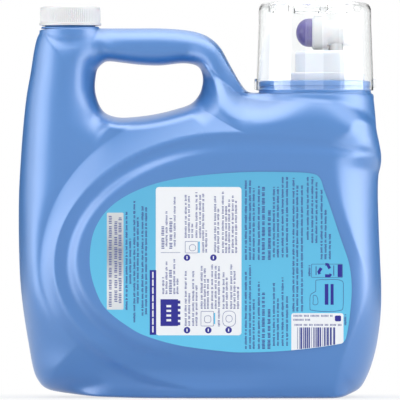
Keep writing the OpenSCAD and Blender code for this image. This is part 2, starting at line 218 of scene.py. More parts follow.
def round_post(x, z, middle, zs, rs):
    """Half depth of a round post with an upright axis: the root of its radius squared less x squared."""
    r = np.interp(z, zs, rs)
    return np.sqrt(np.maximum(r * r - (x - middle) ** 2, 0))


# Upper edge of the roll under the cup: x, z and half depth there
LIP = np.array([
    (-8, 250, 17), (5, 242, 18), (12, 234, 20), (20, 227, 22), (31, 219.6, 25), (42, 217, 28.5),
    (50, 216.3, 31.6), (58, 215.9, 36.6), (70, 215.3, 42.7), (83.5, 214.6, 45), (97, 213.2, 43.2),
    (108, 211, 37.9), (115, 208.6, 32), (120, 205.8, 26.2), (124, 202.8, 19.5), (128.5, 198.5, 12),
])
# The vent column: height, and half depth there
COLUMN = np.array([
    (60, 40.6), (107, 39.4), (143, 39), (165, 37), (190, 35), (215, 31), (240, 28), (262, 25),
])
# The jug's left edge: height, and width of its rounding there
LEFT_EDGE = np.array([
    (10, 44), (35, 46), (50, 34), (60, 26), (71, 20), (90, 17), (107, 17), (128, 20), (150, 27),
    (190, 28), (230, 26), (262, 22),
])


def smooth_table(x, xs, ys):
    """Smooth curve through a table: a cubic between neighbours, with slopes taken across them."""
    slope = np.gradient(ys, xs)
    x = np.clip(x, xs[0], xs[-1])
    i = np.clip(np.searchsorted(xs, x) - 1, 0, len(xs) - 2)
    width = xs[i + 1] - xs[i]
    t = (x - xs[i]) / width
    ends = (1 + 2 * t) * (1 - t) ** 2 * ys[i] + t * t * (3 - 2 * t) * ys[i + 1]
    return ends + t * (1 - t) * width * ((1 - t) * slope[i] - t * slope[i + 1])


def side_depth(x, z, s):
    """Half depth of the jug's side before its edges are rounded.

    Outside the groove oval it is the column's or the hand bar's. From there it climbs to a ledge at the
    border oval, and a riser at the ridge oval lifts it to the label panel. The ledge runs out towards the
    cup, and ledge and riser run out at the foot. Right of a crease the panel bends away.
    """
    panel = JUG_D / 2
    border = inside_oval(x, z, *BORDER_OVAL)
    ridge = inside_oval(x, z, *RIDGE_OVAL)
    groove = inside_oval(x, z, *GROOVE_OVAL)
    column = smooth_table(z, *COLUMN.T)
    bar = mix(s.grip / MM / 2, 38, ease((238 - z) / 34))
    plain = mix(column, bar, ease((x + 92) / 30) * ease((z - 150) / 25))
    ledge = panel - s.panel_rise / MM * (1 - 0.8 * ease((x + 75) / 110) * ease((z - 110) / 30))
    low = ease((x + 45) / 45) * ease((45 - z) / 30)
    low_panel = ease((x + 60) / 60) * ease((60 - z) / 30)
    out = np.maximum(0, -border)
    climb = np.maximum(groove, 0) / np.maximum(np.maximum(groove, 0) + out, 1e-6)
    rise = mix(climb ** 1.35, climb ** 1.1, ease((z - 115) / 45))
    plain = plain + (ledge - plain) * np.maximum(np.maximum(rise, low), ease((x + 12) / 50))
    band = np.clip(border / np.maximum(border - ridge, 1e-6), 0, 1) * (border > 0)
    dip = mix(0.5, 0.9, ease((x + 75) / 60) * ease((z - 110) / 30)) * np.sin(np.pi * band) * (1 - low)
    hill = plain - dip + (panel - ledge) * np.maximum(ease((ridge + 8) / 9), low_panel)
    crease = 96 + 24.5 * np.exp(-((z - 82) / 46) ** 2)
    past = np.maximum(0, x - crease) * ease((190 - z) / 25)
    high = ease((z - 120) / 50)
    return np.minimum(hill, panel) - mix(0.5, 0.33, high) * past - 0.005 * past ** 2


def shoulder_roll(x, z, s):
    """Half depth that the roll under the cup allows.

    From the top of the border oval it bends back by a power of the share of the way up to the lip, and
    above the lip it drops in two steps.
    """
    ledge = JUG_D / 2 - 0.2 * s.panel_rise / MM + 0.5
    (middle_x, middle_z), left, right, up, _ = BORDER_OVAL
    half = np.where(x > middle_x, right, left)
    crest = middle_z + up * np.sqrt(np.clip(1 - ((x - middle_x) / half) ** 2, 0, 1))
    lip, lip_depth = smooth_table(x, *LIP[:, :2].T), smooth_table(x, *LIP[:, ::2].T)
    t = np.clip((z - crest) / (lip - crest), 0, 1)
    bend = mix(0.3 * t + 0.7 * t ** 2.4, t ** 2.4, ease((x - 20) / 50))
    above = np.maximum(0, z - lip) * ease((x - 30) / 8)
    return ledge - (ledge - lip_depth) * bend - 2.5 * ease(above / 3.5) - 16 * ease((above - 3) / 9)


def half_depth(x, z, edge, hole, s):
    """Half depth of the whole skin; edge and hole are the distances to the outline and the opening.

    The side's depth shrinks towards both by rounded edges. Near the cup the roll limits it, and the round
    shoulder and the root of the vent neck are blended on as upright posts.
    """
    foot = 0.8 * (1 - ease(z / 12)) * ease((x + 112) / 40) * ease((122 - x) / 20)
    right = ease((x - 3) / 90)
    wide = mix(smooth_table(z, *LEFT_EDGE.T), mix(30, 46, ease((z - 120) / 50)), right)
    bar_top = ease((z - 200) / 10) * ease((x + 75) / 20) * (1 - right)
    wide = mix(wide, mix(14, 12, ease((x - 3) / 30)), bar_top)
    wide = mix(wide, 14, ease((24 - z) / 20) * ease((x + 100) / 40) * ease((115 - x) / 20))
    wide = mix(wide, 7, ease((x - 36) / 14) * ease((116 - x) / 20) * ease((z - 186) / 10))
    share = foot + (1 - foot) * round_over(edge / wide, mix(2.1, 2.9, right))
    hole_r = 10 + 18 * ease((-64 - x) / 16) + 10 * ease((x + 8) / 12) * ease((240 - z) / 10)
    flat = side_depth(x, z, s) * share * round_over(hole / hole_r, 2.2)
    rolled = -smooth_max(-flat, -shoulder_roll(x, z, s), 1.6)
    flat = np.maximum(0.8, mix(flat, rolled, ease((x + 18) / 56)))
    boss = round_post(
        x, z, CUP_X, (178, 190, 200, 208, 218, 220.6, 222),
        (0, BOSS_R - 2.6, BOSS_R - 0.6, BOSS_R, BOSS_R - 0.8, BOSS_R - 1.6, BOSS_R - 3),
    )
    vent = round_post(
        x, z, VENT_X, (236, 246, 257, 264, 268, 269.2),
        (0, CAP_R - 4, CAP_R - 0.8, CAP_R - 0.2, CAP_R - 0.7, CAP_R - 1.3),
    )
    return smooth_max(smooth_max(flat, boss, 1), vent, 3)


def jug_skin(s, around, across):
    """Rings of points from the outline to the handle opening on the front, and back on the far side.

    A ring runs along the straight line from an outline point to the opening point that it faces, and
    every point stands off the middle plane by half_depth.
    """
    n = len(OUTLINE)
    fine = np.linspace(0, n, 4000, endpoint=False)
    fine_outer = curve(OUTLINE[:, :2], fine)
    step = np.linalg.norm(np.roll(fine_outer, -1, axis=0) - fine_outer, axis=1)
    walk = np.concatenate([[0], np.cumsum(step)])
    places = np.interp(np.arange(around) * walk[-1] / around, walk, np.append(fine, n))
    outer = curve(OUTLINE[:, :2], places)
    outer[:, 0] = np.clip(outer[:, 0], SKIN_LEFT, SKIN_RIGHT)
    outer[:, 1] = np.maximum(outer[:, 1], 0)
    faced = np.append(OUTLINE[:, 2], OUTLINE[0, 2] + len(OPENING))
    hole = curve(OPENING, np.interp(places, np.arange(n + 1), faced) % len(OPENING))
    t = np.arange(across + 1) / across
    t = mix(t, (1 - np.cos(np.pi * t)) / 2, 0.6)
    flat = mix(outer[:, None, :], hole[:, None, :], t[None, :, None])
    xz = flat.reshape(-1, 2)
    fine_outer[:, 0] = np.clip(fine_outer[:, 0], SKIN_LEFT, SKIN_RIGHT)
    fine_outer[:, 1] = np.maximum(fine_outer[:, 1], 0)
    edge = line_gap(xz, fine_outer[::8]).reshape(around, -1)
    gap = line_gap(xz, whole(OPENING, 300)).reshape(around, -1)
    edge[:, 0] = 0
    gap[:, -1] = 0
    x, z = flat[..., 0], flat[..., 1]
    depth = half_depth(x, z, edge, gap, s)
    front = np.stack([x, -depth, z], axis=2)
    back = front[:, ::-1] * (1, -1, 1)
    return np.concatenate([front, back], axis=1)


def grid_faces(rows, columns):
    """Quads of a grid whose rows and columns both join up again."""
    i, j = np.meshgrid(np.arange(rows), np.arange(columns), indexing="ij")
    i2, j2 = (i + 1) % rows, (j + 1) % columns
    quads = np.stack([i * columns + j, i * columns + j2, i2 * columns + j2, i2 * columns + j], -1)
    return quads.reshape(-1, 4)


def rounded(corners):
    """A section's corners (r, z, radius of rounding) as a fine line.

    Each corner is cut back along both of its sides and bridged by a quadratic curve that touches both.
    """
    c = np.array([(*corner, 0)[:3] for corner in corners], float)
    p, cut = c[:, :2], c[:, 2:]
    back, on = np.roll(p, 1, axis=0) - p, np.roll(p, -1, axis=0) - p
    back_l, on_l = (np.linalg.norm(v, axis=1, keepdims=True) for v in (back, on))
    a = p + back / back_l * np.minimum(cut, back_l * 0.49)
    b = p + on / on_l * np.minimum(cut, on_l * 0.49)
    steps = 7
    t = np.linspace(0, 1, steps)[None, :, None]
    line = (1 - t) ** 2 * a[:, None] + 2 * t * (1 - t) * p[:, None] + t * t * b[:, None]
    keep = np.ones(line.shape[:2], bool)
    keep[cut[:, 0] == 0, 1:] = False
    return line[keep]


def turned(section, count, middle, radius_of=None):
    """A closed section of (r, z) turned about the upright axis at x = middle: each point draws a circle.

    radius_of(r, z, angle) may vary the radius, as ribs do. The section runs so that faces point out.
    """
    r, z = section[:, 0], section[:, 1]
    a = np.arange(count)[:, None] * 2 * np.pi / count
    rr = np.broadcast_to(r[None], (count, len(r)))
    if radius_of is not None:
        rr = radius_of(r[None], z[None], a)
    p = np.stack([rr * np.cos(a) + middle, rr * np.sin(a), np.broadcast_to(z[None], rr.shape)], 2)
    return p.reshape(-1, 3), grid_faces(count, len(r))[:, ::-1]


def joined(parts):
    """Several (points, faces) pairs as one."""
    starts = np.cumsum([0] + [len(p) for p, f in parts[:-1]])
    return np.concatenate([p for p, f in parts]), np.concatenate([f + k for (p, f), k in zip(parts, starts)])


def piece(name, points_mm, faces, material, node, stands_for=(), smooth=True, slot=None):
    """A mesh object from points in millimetres, with its material, riding on the body of a node."""
    mesh = bpy.data.meshes.new(name)
    mesh.from_pydata((points_mm * MM).tolist(), [], faces.tolist())
    mesh.validate()
    mesh.shade_smooth() if smooth else mesh.shade_flat()
    obj = bpy.data.objects.new(name, mesh)
    bpy.context.scene.collection.objects.link(obj)
    bpy.context.view_layer.update()
    tidy(obj)
    mesh.materials.append(material)
    body = frame["nodes"][node]["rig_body"]
    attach(obj, body)
    if stands_for:
        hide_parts(*stands_for)
    return obj


def tidy(obj):
    """Merges doubled points, such as those at a pole, and points the faces outwards."""
    bm = bmesh.new()
    bm.from_mesh(obj.data)
    bmesh.ops.remove_doubles(bm, verts=bm.verts, dist=1e-6)
    bmesh.ops.recalc_face_normals(bm, faces=bm.faces)
    bm.to_mesh(obj.data)
    bm.free()


# Materials

def linear(colour):
    """An sRGB hex colour as linear red, green and blue."""
    rgb = np.array([int(colour[i:i + 2], 16) / 255 for i in (1, 3, 5)])
    return [*np.where(rgb <= 0.04045, rgb / 12.92, ((rgb + 0.055) / 1.055) ** 2.4), 1.0]


def add_node(tree, kind, values=None, links=None, **settings):
    """Adds a node, sets its properties and input values, and links inputs to other nodes' outputs."""
    node = tree.nodes.new(kind)
    for key, value in settings.items():
        setattr(node, key, value)
    for key, value in (values or {}).items():
        node.inputs[key].default_value = value
    for key, source in (links or {}).items():
        tree.links.new(source, node.inputs[key])
    return node


def new_material(name):
    """An empty node material and its tree."""
    material = bpy.data.materials.new(name)
    material.use_nodes = True
    material.node_tree.nodes.clear()
    return material, material.node_tree


def close_material(tree, shader):
    """Links a shader to the material's output."""
    add_node(tree, "ShaderNodeOutputMaterial", links={"Surface": shader})


def fine_bump(tree, scale, strength):
    """A bump from noise of a real pitch: scale is waves a metre."""
    height = 0.01 * MM
    where = add_node(tree, "ShaderNodeTexCoord")
    noise = add_node(
        tree, "ShaderNodeTexNoise", {"Scale": scale, "Detail": 2.0}, {"Vector": where.outputs["Object"]}
    )
    return add_node(
        tree, "ShaderNodeBump", {"Strength": strength, "Distance": height}, {"Height": noise.outputs["Fac"]}
    )


def pearl_hdpe(colour):
    """Blow-moulded HDPE with pearl pigment: a broad pale sheen over the blue, from a dense soft coat."""
    material, tree = new_material("blow-moulded HDPE, pearl blue")
    where = add_node(tree, "ShaderNodeTexCoord")
    cloud = add_node(
        tree, "ShaderNodeTexNoise", {"Scale": 35.0, "Detail": 3.0}, {"Vector": where.outputs["Object"]}
    )
    rough = add_node(
        tree, "ShaderNodeMapRange", {"To Min": 0.4, "To Max": 0.44}, {"Value": cloud.outputs["Fac"]}
    )
    bump = fine_bump(tree, 900.0, 0.15)
    shader = add_node(tree, "ShaderNodeBsdfPrincipled", {
        "Base Color": linear(colour), "Metallic": 0.03, "IOR": 1.54,
        "Coat Weight": 0.7, "Coat Roughness": 0.37, "Coat IOR": 1.7,
    }, {"Roughness": rough.outputs["Result"], "Normal": bump.outputs["Normal"]})
    close_material(tree, shader.outputs["BSDF"])
    return material


def moulded_plastic(name, colour, roughness, subsurface=0.0, pitch=700.0):
    """Injection-moulded plastic: one colour, a soft sheen and a trace of tool texture."""
    material, tree = new_material(name)
    bump = fine_bump(tree, pitch, 0.12)
    shader = add_node(tree, "ShaderNodeBsdfPrincipled", {
        "Base Color": linear(colour), "Roughness": roughness, "IOR": 1.5, "Subsurface Weight": subsurface,
        "Subsurface Scale": 0.002,
    }, {"Normal": bump.outputs["Normal"]})
    close_material(tree, shader.outputs["BSDF"])
    return material


def clear_polypropylene():
    """Clear injection-moulded polypropylene: the tap shows through it, and only its rims draw lines."""
    material, tree = new_material("clear moulded polypropylene")
    shader = add_node(tree, "ShaderNodeBsdfPrincipled", {
        "Base Color": linear("#FDFEFE"), "Roughness": 0.03, "IOR": 1.49, "Transmission Weight": 1.0,
        "Specular IOR Level": 0.1,
    })
    close_material(tree, shader.outputs["BSDF"])
    return material


def label_film(name, colour, lit_foot_colour, low_z, high_z):
    """Printed polypropylene film with painted light: its colour turns paler towards the label's foot, a
    painted shading gradient.
    """
    material, tree = new_material(name)
    where = add_node(tree, "ShaderNodeTexCoord")
    parts = add_node(tree, "ShaderNodeSeparateXYZ", links={"Vector": where.outputs["Object"]})
    painted_light_height = add_node(
        tree, "ShaderNodeMapRange", {"From Min": low_z * MM, "From Max": high_z * MM},
        {"Value": parts.outputs["Z"]},
    )
    # Painted light: the film's colour blends up from a paler one at the foot, standing in for the shading
    # there
    ink = add_node(
        tree, "ShaderNodeMix", {"A": linear(lit_foot_colour), "B": linear(colour)},
        {"Factor": painted_light_height.outputs["Result"]}, data_type="RGBA",
    )
    shader = add_node(
        tree, "ShaderNodeBsdfPrincipled", {"Roughness": 0.32, "IOR": 1.5, "Coat Weight": 0.2},
        {"Base Color": ink.outputs["Result"]},
    )
    close_material(tree, shader.outputs["BSDF"])
    return material


class JugSettings(bpy.types.PropertyGroup):
    """Sizes and colours of the jug"""

    panel_rise: bpy.props.FloatProperty(
        name="Panel", description="Step from the ledge up to the panel", default=0.005, unit="LENGTH"
    )
    grip: bpy.props.FloatProperty(
        name="Grip", description="Depth of the hand grip", default=0.034, unit="LENGTH"
    )
    blue: bpy.props.StringProperty(name="Jug colour", description="sRGB hex colour", default="#3377BD")
    label_blue: bpy.props.StringProperty(name="Label colour", description="sRGB hex", default="#56B4DC")
    # The label's colour at its foot, painted paler to stand in for the light there
    label_lit_foot: bpy.props.StringProperty(name="Label foot painted lighter", description="sRGB hex", default="#62CBF0")
    button: bpy.props.StringProperty(name="Button colour", description="sRGB hex", default="#2E2178")


def paint(node, material):
    """Gives a CAD node, whose mesh stays as it is, its material."""
    materials = frame["nodes"][node].data.materials
    materials.clear()
    materials.append(material)


class JUG_OT_skin(bpy.types.Operator):
    """Jug skin with its handle, groove, ledge, label panel and the roll under the cup"""

    bl_idname = "jug.skin"
    bl_label = "Jug skin"

    def execute(self, context):
        s = context.scene.jug
        blue = pearl_hdpe(s.blue)
        around, across = ((480, 96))
        skin = jug_skin(s, around, across)
        faces = grid_faces(around, skin.shape[1])
        piece("jug_skin", skin.reshape(-1, 3), faces, blue, "bottle", ("bottle",), slot="hdpe_blue")
        return {"FINISHED"}


class JUG_OT_necks(bpy.types.Operator):
    """Cup ring with its bead and groove, tap neck and threaded vent neck of the jug"""

    bl_idname = "jug.necks"
    bl_label = "Necks"

    def execute(self, context):
        blue = bpy.data.materials["blow-moulded HDPE, pearl blue"]
        r, z = RING_R, SHOULDER_Z
        ring = rounded([
            (r - 3, z - 1), (r + 0.9, z - 1), (r, z + 0.7, 0.8), (r, z + 1.3, 0.3), (r + 0.38, z + 2.1, 0.5),
            (r, z + 3.2, 0.3), (r - 0.7, z + 3.5, 0.2), (r - 0.7, z + 4.6, 0.2), (r, z + 5, 0.3),
            (r, RING_TOP, 2.2), (r - 3, RING_TOP),
        ])
        lid = rounded([
            (0, RING_TOP - 1), (RING_R - 2, RING_TOP - 1), (RING_R - 2, RING_TOP), (0, RING_TOP),
        ])
        wall_r = COLLAR_R - 6.6
        tap_neck = rounded([
            (wall_r - 1.6, RING_TOP - 1), (wall_r, RING_TOP - 1), (wall_r, RING_TOP + 16.8, 0.4),
            (wall_r - 1.6, RING_TOP + 16.8, 0.4),
        ])
        parts = [turned(ring, 256, CUP_X), turned(lid, 256, CUP_X), turned(tap_neck, 128, TAP_X)]
        piece("jug_cup_ring", *joined(parts), blue, "bottle", slot="hdpe_blue")
        neck_r = CAP_R - CAP_RIM - CAP_WALL - 2
        root, top = VENT_ROOT, JUG_HI[2]
        vent = rounded([
            (neck_r - 1.6, root - 14), (neck_r, root - 14), (neck_r, root - 0.6), (CAP_R - 2.4, root - 0.6),
            (CAP_R - 1.4, root - 1.5), (CAP_R - 1.35, root - 1.0, 0.2), (CAP_R - 2, root, 0.5),
            (neck_r, root, 0.4), (neck_r, top, 0.3), (neck_r - 1.6, top, 0.3),
        ])
        ridge = thread(neck_r, 0.9, root + 2.2, top - 1.6, 1.75)
        parts = [turned(vent, 192, VENT_X), ridge]
        piece("jug_vent_neck", *joined(parts), blue, "bottle", slot="hdpe_blue")
        return {"FINISHED"}


def thread(radius, height, z0, z1, turns):
    """A rounded ridge that climbs round the vent neck: a round section carried along a helix.

    The helix rises evenly from z0 to z1 over the turns, and the section shrinks to a point at its ends.
    """
    along, round_count = 400, 10
    u = np.linspace(0, 1, along)[:, None]
    v = (np.arange(round_count) / round_count)[None] * 2 * np.pi
    size = np.sqrt(np.clip(np.minimum(u, 1 - u) / 0.05, 0, 1))
    size[[0, -1]] = 0
    r = radius - 0.3 + size * (height + 0.3) * np.cos(v)
    z = z0 + (z1 - z0) * u + 0.8 * size * np.sin(v)
    a = u * turns * 2 * np.pi
    p = np.stack([VENT_X + r * np.cos(a), r * np.sin(a), z], 2)
    return p.reshape(-1, 3), grid_faces(along, round_count)[:(along - 1) * round_count]


def ring_part(r0, r1, z0, z1, start, end):
    """A closed piece of a ring round the cup's axis: a rectangle swept between two angles in degrees."""
    count = 12
    a = np.radians(np.linspace(start, end, count))[:, None]
    r = np.array([r0, r1, r1, r0])[None]
    z = np.broadcast_to(np.array([z0, z0, z1, z1], float)[None], (count, 4))
    p = np.stack([CUP_X + r * np.cos(a), r * np.sin(a), z], axis=-1)
    faces = grid_faces(count, 4)[:(count - 1) * 4]
    ends = np.array([[3, 2, 1, 0], [4 * count - 4, 4 * count - 3, 4 * count - 2, 4 * count - 1]])
    return p.reshape(-1, 3), np.concatenate([faces, ends])


class JUG_OT_vent_cap(bpy.types.Operator):
    """Ribbed shell of the vent cap, and the colour of the liner in it"""

    bl_idname = "jug.vent_cap"
    bl_label = "Vent cap"

    def execute(self, context):
        white = moulded_plastic("injection-moulded polypropylene, white", "#E6E6E7", 0.38, 0.15)
        z0, z1 = CAP_LO[2], CAP_HI[2]
        r = CAP_R - CAP_RIM
        inner = r - CAP_WALL
        ribs = 90
        section = rounded([
            (inner, z0, 0.3), (CAP_R, z0, 0.4), (CAP_R, z0 + 1.7, 0.5), (r - 0.1, z0 + 1.9),
            (r - 0.1, z0 + 2.4), (r, z0 + 3.0), (r, z0 + 5.5), (r, z0 + 8), (r, z1 - 3.4),
            (r - 0.35, z1, 3.0), (r - 8, z1 - 0.0), (0, z1), (0, z1 - CAP_WALL), (inner, z1 - CAP_WALL),
        ])
        low, high = z0 + 2.2, z1 - 2.9

        def ribbed(rr, h, a):
            """The radius less a flattened cosine wave for each rib, faded out at the rim and the top."""
            depth = 0.35 * ease((h - low) / 0.8) * ease((high - h) / 0.8) * (rr > r - 1)
            wave = 0.5 - 0.5 * np.clip(1.6 * np.cos(a * ribs), -1, 1)
            return rr - depth * wave

        shell = turned(section, 1080, VENT_X, radius_of=ribbed)
        piece("vent_cap_shell", *shell, white, "vent_cap", ("vent_cap",), slot="cap_white")
        foam = moulded_plastic("expanded polyethylene liner", "#E6E8EA", 0.7, 0.1)
        paint("vent_cap_liner", foam)
        return {"FINISHED"}


class JUG_OT_dosing_cup(bpy.types.Operator):
    """Clear dosing cup with a stub ring under its top and a lug at either side of its mouth"""

    bl_idname = "jug.dosing_cup"
    bl_label = "Dosing cup"

    def execute(self, context):
        clear = clear_polypropylene()
        z0, z1 = CUP_LO[2], CUP_HI[2]
        top_r = CUP_R - 1.7
        wall = 1.0
        section = rounded([
            (CUP_R - wall, z0, 0.25), (CUP_R, z0, 0.3), (CUP_R - 0.2, z0 + 8), (top_r, z1 - 16),
            (top_r, z1, 13), (top_r - 14, z1), (0, z1), (0, z1 - wall), (top_r - 15, z1 - wall),
            (top_r - wall, z1 - wall, 12), (top_r - wall, z1 - 16), (CUP_R - 0.2 - wall, z0 + 8),
        ])
        stub = [
            ring_part(CUP_R - 9.5, CUP_R - 8.5, z1 - 7.5, z1 - wall, 40 * k + 4, 40 * k + 36)
            for k in range(9)
        ]
        lugs = [
            ring_part(CUP_R - 0.5, (CUP_HI[0] - CUP_LO[0]) / 2, z0 + 0.4, z0 + 8.5, a - 4, a + 4)
            for a in (0, 180)
        ]
        parts = [turned(section, 192, CUP_X), *stub, *lugs]
        piece("cup_wall", *joined(parts), clear, "dosing_cup", ("dosing_cup",), slot="cup_clear")
        return {"FINISHED"}


class JUG_OT_tap(bpy.types.Operator):
    """Shell of the collar, and the colours of the tap body, retaining ring, dome button and valve"""

    bl_idname = "jug.tap"
    bl_label = "Press tap"

    def execute(self, context):
        s = context.scene.jug
        # Painted shade: the collar is the tap's white plastic, painted a darker, bluish grey for the shading
        # it shows
        collar_white = moulded_plastic("injection-moulded polypropylene, cool white", "#C9CDD5", 0.35, 0.1)
        r, z0, z1 = COLLAR_R, COLLAR_LO[2], COLLAR_HI[2]
        section = rounded([
            (r - 5.7, z0), (r, z0, 0.4), (r, z0 + 5.6, 1.0), (r - 3, z0 + 5.6, 0.5), (r - 3, z1, 3.2),
            (r - 9.9, z1, 0.4), (r - 9.9, z1 - 1.6), (r - 5.7, z1 - 1.6),
        ])
        shell = turned(section, 192, TAP_X)
        piece("tap_collar_shell", *shell, collar_white, "tap_collar", ("tap_collar",), slot="collar_white")
        tap_white = moulded_plastic("injection-moulded polypropylene, natural white", "#CDCED1", 0.4, 0.2)
        # Painted shade: the retaining ring's white plastic is painted grey to stand in for its shading
        retainer_painted_shade = moulded_plastic("injection-moulded polypropylene, white in painted shade", "#B4B6B9", 0.4, 0.1)
        dome = moulded_plastic("moulded thermoplastic elastomer, purple", s.button, 0.35, 0.05)
        seal = moulded_plastic("moulded nitrile rubber", "#3A3D42", 0.6)
        for node, material in (
            ("tap_body", tap_white), ("button_retainer", retainer_painted_shade), ("push_button", dome),
            ("valve_stem", tap_white), ("valve_seal", seal), ("collar_gasket", seal),
        ):
            paint(node, material)
        return {"FINISHED"}


# Lines of greeked print on the back label, set upright: x, foot z, head z, and 1 where it is bold
PRINT_ON_BLUE = np.array([
    (-53.4, 64.1, 135.3, 0), (-50.8, 83.1, 116.3, 0), (-47.8, 55.2, 144.6, 0), (-45.3, 68.9, 131.3, 0),
    (-41.9, 60.1, 139.3, 0), (-39.3, 61, 138.8, 0),
    (32.9, 100.4, 159.4, 0), (35.9, 100.4, 158.5, 0), (38.6, 100.4, 153, 0), (42.3, 100.4, 154.4, 0),
    (45.6, 100.4, 153.9, 1), (49.9, 100.4, 137.1, 1), (53.2, 102.2, 154.1, 0), (56.1, 102.2, 153.7, 0),
    (59.5, 102.2, 161.2, 0), (62.7, 102.2, 160.7, 0), (32.9, 35.9, 92.2, 0), (35.9, 35.9, 96.7, 0),
    (38.6, 35.9, 72.2, 0), (42.3, 35.9, 84.9, 0), (45.6, 35.9, 77.7, 1), (49.7, 35.9, 64.9, 1),
    (53.2, 38.2, 84.5, 0), (56.1, 38.2, 73.1, 0), (59.5, 38.2, 88.1, 0), (62.7, 38.2, 74.5, 0),
    (67.4, 63.1, 160.7, 0), (70.1, 63.1, 154.4, 0), (73.5, 63.1, 154.8, 0), (77.7, 114.9, 160.7, 0),
    (81, 112.6, 160.6, 0), (84, 112.6, 156.6, 0), (87.7, 100.8, 151.7, 0), (90.6, 100.8, 137.1, 0),
    (93.7, 100.8, 119.9, 0), (104.9, 53.1, 61.8, 0), (78.9, 88.6, 96.7, 0),
])
PRINT_ON_WHITE = np.array([
    (-27.2, 108.3, 125.6, 1), (-24.5, 110.1, 136.6, 0), (-21.4, 108.3, 130.9, 1), (-18.6, 110.1, 146.4, 0),
    (-10.6, 116.3, 147.7, 0), (-8.3, 116.3, 147.2, 0), (-5.9, 116.3, 127.3, 0), (-2.8, 116.3, 149.9, 0),
    (-0.2, 116.3, 148.1, 0), (2, 105.7, 148.6, 0), (4.2, 105.7, 122.5, 0), (-26.9, 75.6, 88.8, 0),
    (-24.5, 75.6, 100.8, 0), (-21.6, 75.6, 94.1, 1), (-18.9, 75.6, 102.1, 0), (-16.6, 75.6, 87.5, 0),
    (-10.6, 52.6, 93.3, 0), (-8.1, 52.6, 76.9, 0), (-5.2, 52.6, 93.3, 0), (-2.8, 52.6, 82.2, 0),
    (0.9, 64.9, 96.8, 0), (3.2, 64.9, 95.5, 0), (5.4, 64.9, 87.5, 0), (8.5, 64.9, 97.7, 0),
    (10.7, 105.8, 147.6, 0), (12.9, 105.3, 137.6, 0), (16.3, 105.3, 150.7, 0), (18.6, 105.3, 140.3, 0),
    (20.8, 105.3, 144.8, 0), (23.4, 105.3, 147.6, 0), (25.8, 105.3, 143.5, 0), (11.1, 64.9, 96.7, 0),
    (13.4, 52.2, 96.7, 0), (16.8, 64.9, 92.2, 0), (19.1, 64.9, 88.6, 0), (22.3, 64.9, 98.1, 0),
    (24.7, 64.9, 92.6, 0), (27.2, 64.9, 81.7, 0),
])
PRINT_ON_SILVER = np.array([(-65.2, 66.3, 133.5, 1), (-61.2, 69.8, 130.9, 1), (-58.1, 68.9, 131.8, 1)])
# Discs beside the steps: x, z. Drawn boxes, and those inside them: x and z limits and corner radius
STEP_DISCS = ((-9.7, 102.1), (9.4, 102.1), (-9.7, 49.6), (5.7, 49.6), (20.4, 49.7))
BOXES = (
    (80.4, 102.9, 87.8, 97.4, 0.6), (-11, -1.8, 105.5, 113.8, 0.6), (0.4, 9.6, 52.6, 63.2, 0.6),
    (16.2, 25.4, 52.4, 63.4, 3.5),
)
BOXES_INSIDE = ((-8, -3.4, 107, 111.5, 2.0), (3, 7.6, 55, 60, 1.6), (18.4, 23, 55.4, 60.4, 2.2))


def slabs(x0, x1, z0, z1, low, high, side=-1):
    """Closed boxes from arrays of left, right, foot and head; low and high are heights over the panel."""
    x0, x1, z0, z1 = (np.atleast_1d(np.asarray(v, float)) for v in np.broadcast_arrays(x0, x1, z0, z1))
    x = np.stack([x0, x1, x1, x0] * 2, 1)
    z = np.stack([z0, z0, z1, z1] * 2, 1)
    y = side * (JUG_D / 2 + np.array([high] * 4 + [low] * 4))
    p = np.stack([x, np.broadcast_to(y, x.shape), z], 2).reshape(-1, 3)
    quads = np.array([
        (0, 1, 2, 3), (7, 6, 5, 4), (0, 4, 5, 1), (1, 5, 6, 2), (2, 6, 7, 3), (3, 7, 4, 0)
    ])
    return p, (quads[None] + 8 * np.arange(len(x0))[:, None, None]).reshape(-1, 4)


def small_print(lines, seed, pitch=0.95):
    """Greeked print: rows of tiny strokes in words of three to nine, in place of letters.

    A line of n strokes has gaps at the running total of random word lengths.
    """
    rng = np.random.default_rng(seed)
    parts = []
    for x, foot, head, bold in lines:
        step = pitch * (1 + 0.25 * bold)
        count = int((head - foot) / step)
        k = np.arange(count)
        gaps = np.cumsum(rng.integers(3, 10, count))
        k = k[~np.isin(k, gaps)]
        z = foot + (k + 0.5) * step
        tall = 0.62 + 0.35 * bold + rng.choice([0, 0, 0.22], len(k))
        dip = 0.62 + 0.35 * bold + rng.choice([0, 0, 0, 0.2], len(k))
        half = (0.27 + 0.06 * bold) * np.ones(len(k))
        parts.append(slabs(x - tall, x + dip, z - half, z + half, *LINE))
    return joined(parts)


def plate(outline, low, high, side=-1):
    """A flat plate on the panel from a closed outline of (x, z), with each face drawn in to its middle."""
    n = len(outline)
    flat = np.stack([np.tile(outline.mean(0), (n, 1)), outline, outline, np.tile(outline.mean(0), (n, 1))])
    y = side * (JUG_D / 2 + np.array([high, high, low, low]))[:, None] * np.ones((4, n))
    p = np.stack([flat[..., 0], y, flat[..., 1]], 2)
    return p.reshape(-1, 3), grid_faces(4, n)[:3 * n]


def box_line(x0, x1, z0, z1, r):
    """A rectangle with rounded corners as a closed line: quarter circles about four corner centres."""
    a = (np.linspace(0, 90, 7)[None] + np.arange(4)[:, None] * 90) * np.pi / 180
    cx = np.array([x1 - r, x0 + r, x0 + r, x1 - r])[:, None]
    cz = np.array([z1 - r, z1 - r, z0 + r, z0 + r])[:, None]
    return np.stack([cx + r * np.cos(a), cz + r * np.sin(a)], 2).reshape(-1, 2)


